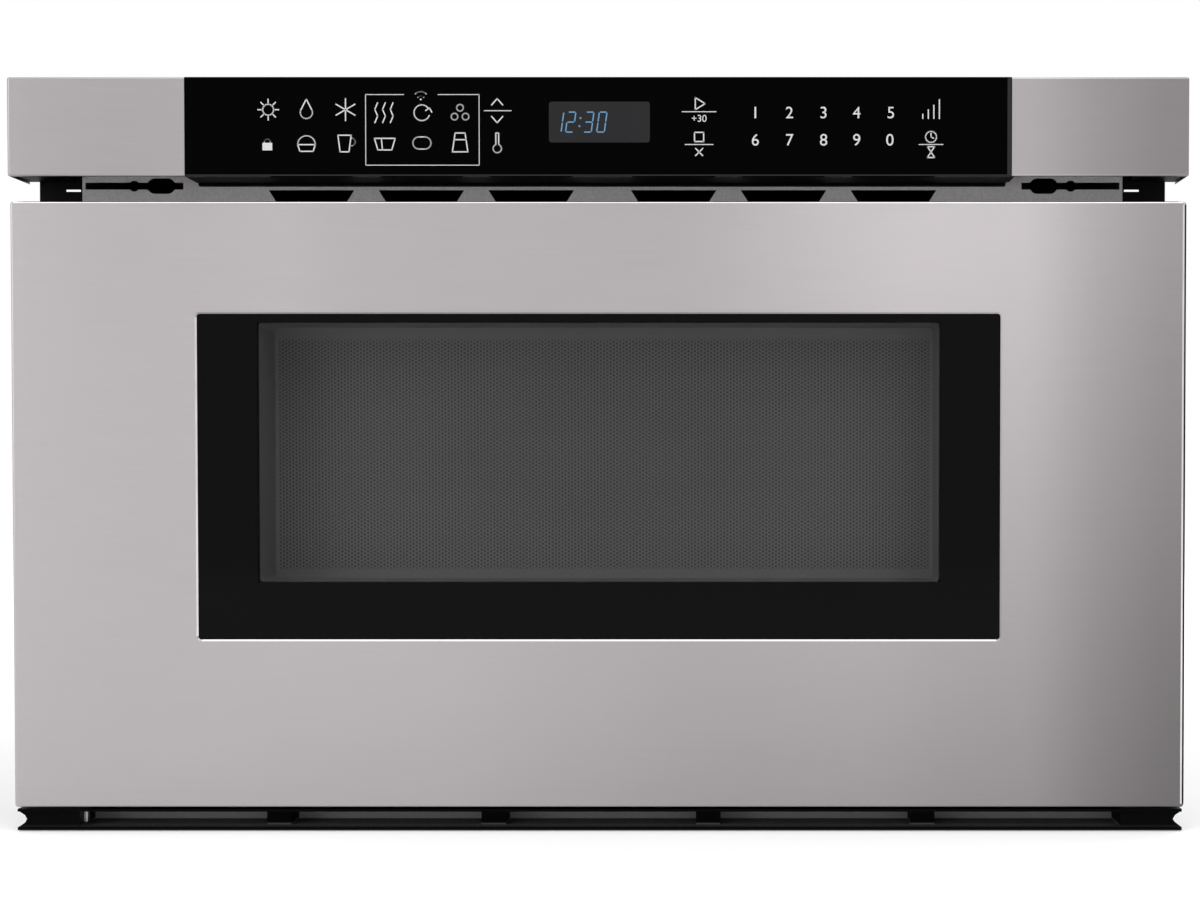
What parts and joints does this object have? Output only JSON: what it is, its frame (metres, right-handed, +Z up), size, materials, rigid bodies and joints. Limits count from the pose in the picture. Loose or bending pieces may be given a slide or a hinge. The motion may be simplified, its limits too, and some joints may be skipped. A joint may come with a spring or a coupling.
{
  "type": "microwave drawer",
  "caption": "Built-in microwave drawer with a stainless front, dark window, touch control panel, steel case, sliding tub and rack-and-pinion drive",
  "frame": {"origin": "centre of the bounding box's underside, on the cabinet floor", "axes": "X to the right across the front, Y from the front to the back, Z up"},
  "size_m": [0.6064, 0.5936, 0.388],
  "materials": {
    "brushed_stainless": "brushed stainless steel",
    "galvanised_sheet": "galvanised sheet steel",
    "frame_grey": "grey painted sheet steel",
    "black_enamel": "black painted sheet steel",
    "cavity_enamel": "light grey enamel",
    "screen_steel": "black painted perforated steel",
    "black_glass": "dark tempered glass",
    "clear_glass": "clear glass",
    "glass_ceramic": "white glass ceramic",
    "black_moulding": "black moulded plastic",
    "pale_moulding": "pale moulded plastic",
    "bright_steel": "bright zinc-plated steel",
    "motor_metal": "plated motor casings",
    "transformer_iron": "varnished laminations and copper",
    "circuit_board": "green circuit board"
  },
  "bodies": {
    "case": {"base_plate": "galvanised_sheet", "top_panel": "galvanised_sheet", "rear_panel": "galvanised_sheet", "side_panel_left": "galvanised_sheet", "side_panel_right": "galvanised_sheet", "front_frame": "frame_grey", "mounting_flange_left": "black_enamel", "mounting_flange_right": "black_enamel", "lower_grille": "black_enamel", "cavity_liner": "cavity_enamel", "stirrer_cover": "pale_moulding", "stirrer_motor": "motor_metal", "waveguide": "galvanised_sheet", "magnetron": "motor_metal", "hv_transformer": "transformer_iron", "hv_capacitor": "motor_metal", "fan_shroud": "black_moulding", "fan_motor": "motor_metal", "exhaust_duct": "black_moulding", "board_tray": "pale_moulding", "power_board": "circuit_board", "noise_filter": "circuit_board", "cavity_lamp": "motor_metal", "cord_gland": "black_moulding", "slide_brackets": "galvanised_sheet", "slide_outer_rails": "bright_steel", "drive_brackets": "galvanised_sheet", "drive_motor": "motor_metal", "interlock_switches": "black_moulding", "control_housing": "black_moulding", "control_glass": "black_glass", "control_board": "circuit_board", "display_module": "black_moulding", "end_cap_left": "brushed_stainless", "end_cap_right": "brushed_stainless"},
    "drawer": {"drawer_skin": "brushed_stainless", "window_glass": "black_glass", "door_frame": "black_moulding", "choke_ring": "black_enamel", "screen_panel": "screen_steel", "inner_window": "clear_glass", "drawer_tub": "cavity_enamel", "ceramic_floor": "glass_ceramic", "tub_glides": "pale_moulding", "drawer_arms": "bright_steel", "drive_racks": "bright_steel", "slide_inner_rails": "bright_steel", "interlock_fingers": "black_moulding"},
    "slide_middle_left": {"slide_middle_left": "bright_steel"},
    "slide_middle_right": {"slide_middle_right": "bright_steel"},
    "drive_shaft": {"drive_shaft": "bright_steel", "drive_pinions": "bright_steel", "reduction_gear": "bright_steel"},
    "motor_pinion": {"motor_pinion": "pale_moulding"},
    "stirrer": {"stirrer_blade": "bright_steel"},
    "fan": {"fan_impeller": "pale_moulding"},
    "interlock_plunger_left": {"interlock_plunger_left": "pale_moulding"},
    "interlock_plunger_right": {"interlock_plunger_right": "pale_moulding"}
  },
  "joints": [
    {"name": "drawer_slide", "type": "slide", "parent": "case", "child": "drawer", "axis": [0, -1, 0], "range_m": [0, 0.38]},
    {"name": "left_rail_slide", "type": "slide", "parent": "case", "child": "slide_middle_left", "axis": [0, -1, 0], "range_m": [0, 0.19]},
    {"name": "right_rail_slide", "type": "slide", "parent": "case", "child": "slide_middle_right", "axis": [0, -1, 0], "range_m": [0, 0.19]},
    {"name": "drive_shaft_turn", "type": "hinge", "parent": "case", "child": "drive_shaft", "pos_m": [0, -0.23485, 0.028], "axis": [1, 0, 0], "range_deg": [0, 1210]},
    {"name": "motor_pinion_turn", "type": "hinge", "parent": "case", "child": "motor_pinion", "pos_m": [0.2, -0.20785, 0.028], "axis": [1, 0, 0], "range_deg": [-2420, 0]},
    {"name": "stirrer_turn", "type": "hinge", "parent": "case", "child": "stirrer", "pos_m": [0, -0.05715, 0.285], "axis": [0, 0, 1], "continuous": true},
    {"name": "fan_turn", "type": "hinge", "parent": "case", "child": "fan", "pos_m": [0.175, 0.27315, 0.14], "axis": [0, 1, 0], "continuous": true},
    {"name": "left_plunger_press", "type": "slide", "parent": "case", "child": "interlock_plunger_left", "axis": [0, 1, 0], "range_m": [0, 0.0012], "stiffness_N_per_m": 300, "springref_m": -0.002},
    {"name": "right_plunger_press", "type": "slide", "parent": "case", "child": "interlock_plunger_right", "axis": [0, 1, 0], "range_m": [0, 0.0012], "stiffness_N_per_m": 300, "springref_m": -0.002}
  ],
  "couplings": [
    {"joint": "left_rail_slide", "follows": "drawer_slide", "ratio": 0.5},
    {"joint": "right_rail_slide", "follows": "drawer_slide", "ratio": 0.5},
    {"joint": "drive_shaft_turn", "follows": "drawer_slide", "rad_per_m": 55.556},
    {"joint": "motor_pinion_turn", "follows": "drawer_slide", "rad_per_m": -111.11}
  ]
}
